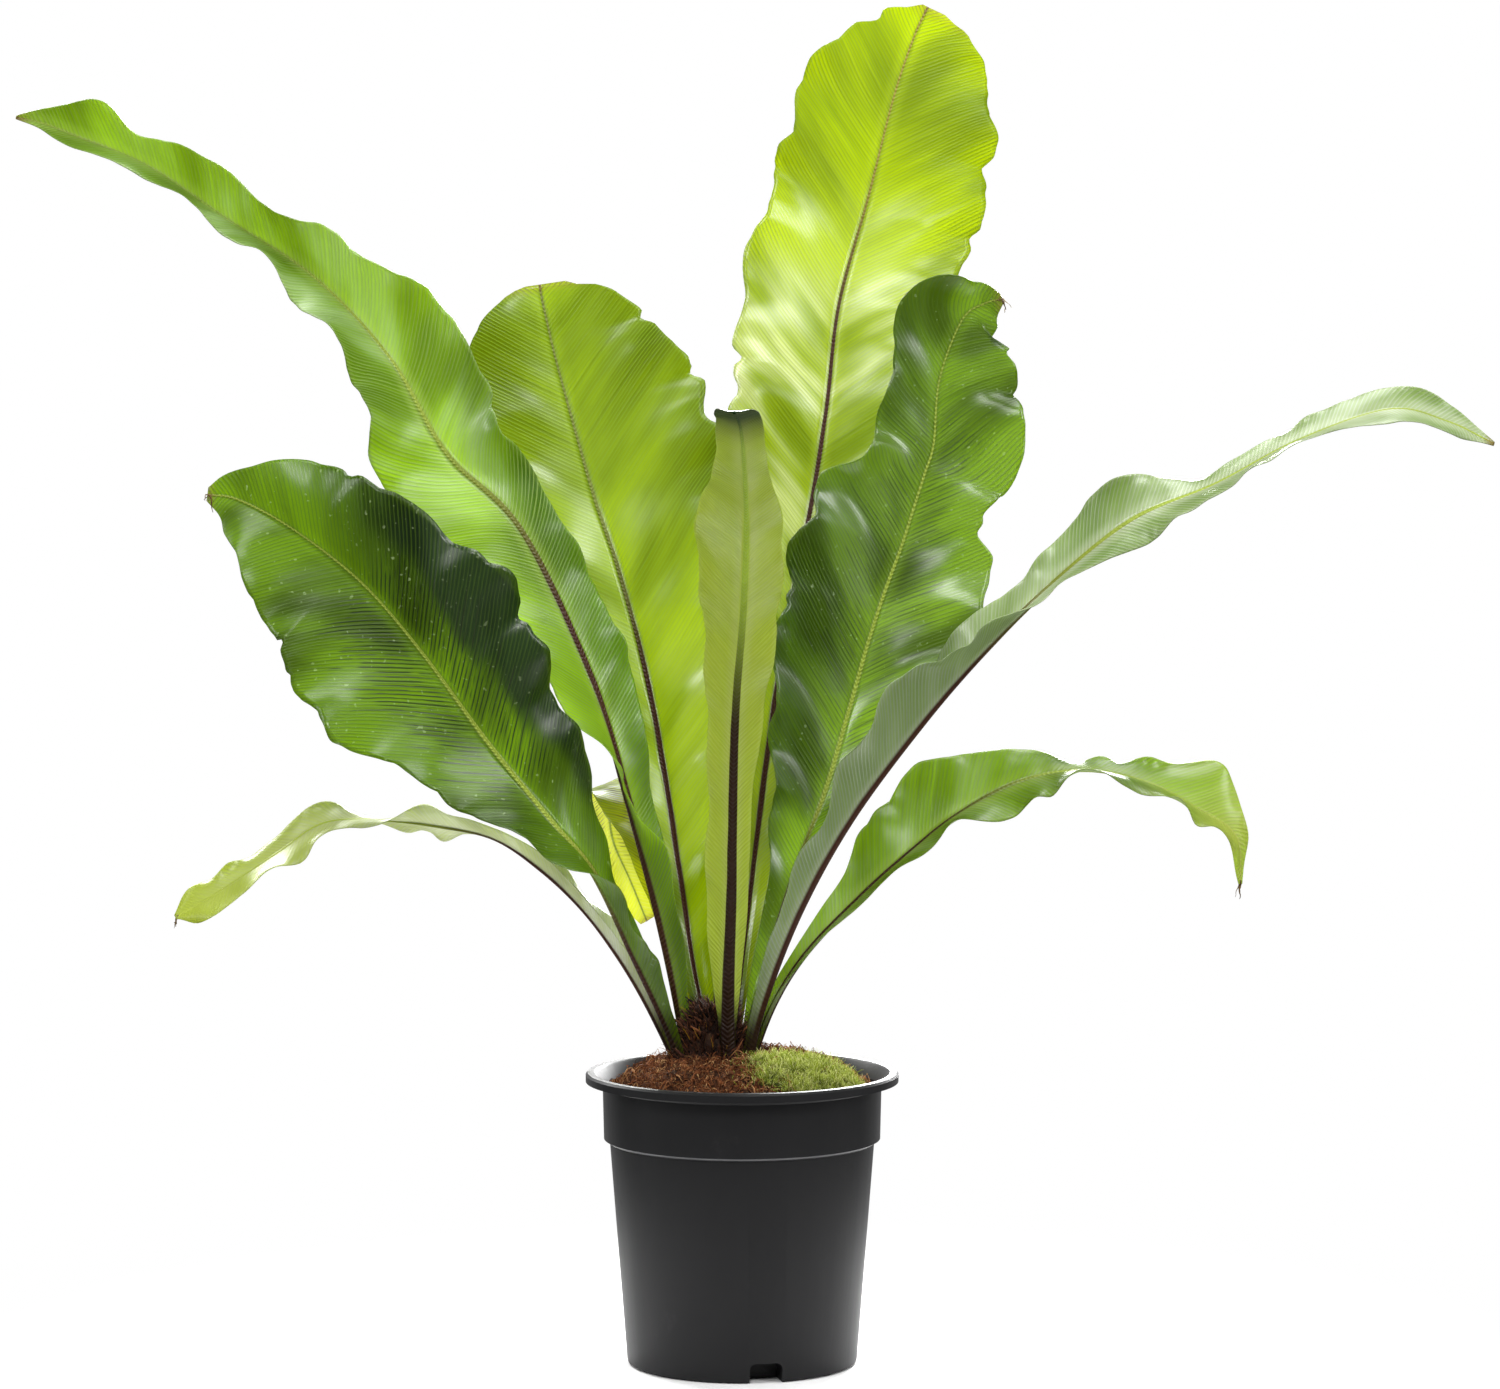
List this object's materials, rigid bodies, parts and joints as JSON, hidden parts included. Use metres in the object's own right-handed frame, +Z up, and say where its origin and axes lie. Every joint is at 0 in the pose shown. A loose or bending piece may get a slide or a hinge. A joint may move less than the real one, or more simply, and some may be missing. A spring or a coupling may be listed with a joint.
{
  "type": "potted fern",
  "caption": "Bird's nest fern: a rosette of wavy strap-shaped fronds from a scaly crown, in coir with a moss cushion, in a black plastic nursery pot.",
  "frame": {"origin": "middle of the flat underside of the pot, on the surface that the pot stands on", "axes": "+Z up along the pot's axis, -Y towards the viewer of the picture, +X to the viewer's right"},
  "size_m": [0.989, 0.6144, 0.9259],
  "materials": {
    "black_plastic": "satin",
    "coir": "matte",
    "moss": "matte",
    "crown_scales": "matte",
    "leaf": "satin"
  },
  "bodies": {
    "root": {"pot": "black_plastic", "soil": "coir", "moss": "moss", "crown": "crown_scales", "frond_left_broad": "leaf", "frond_left_arching": "leaf", "frond_left_twisted": "leaf", "frond_back_left": "leaf", "frond_tall": "leaf", "frond_right_broad": "leaf", "frond_right_arching": "leaf", "frond_right_low": "leaf", "frond_front": "leaf", "frond_back_drooping": "leaf"}
  },
  "joints": []
}
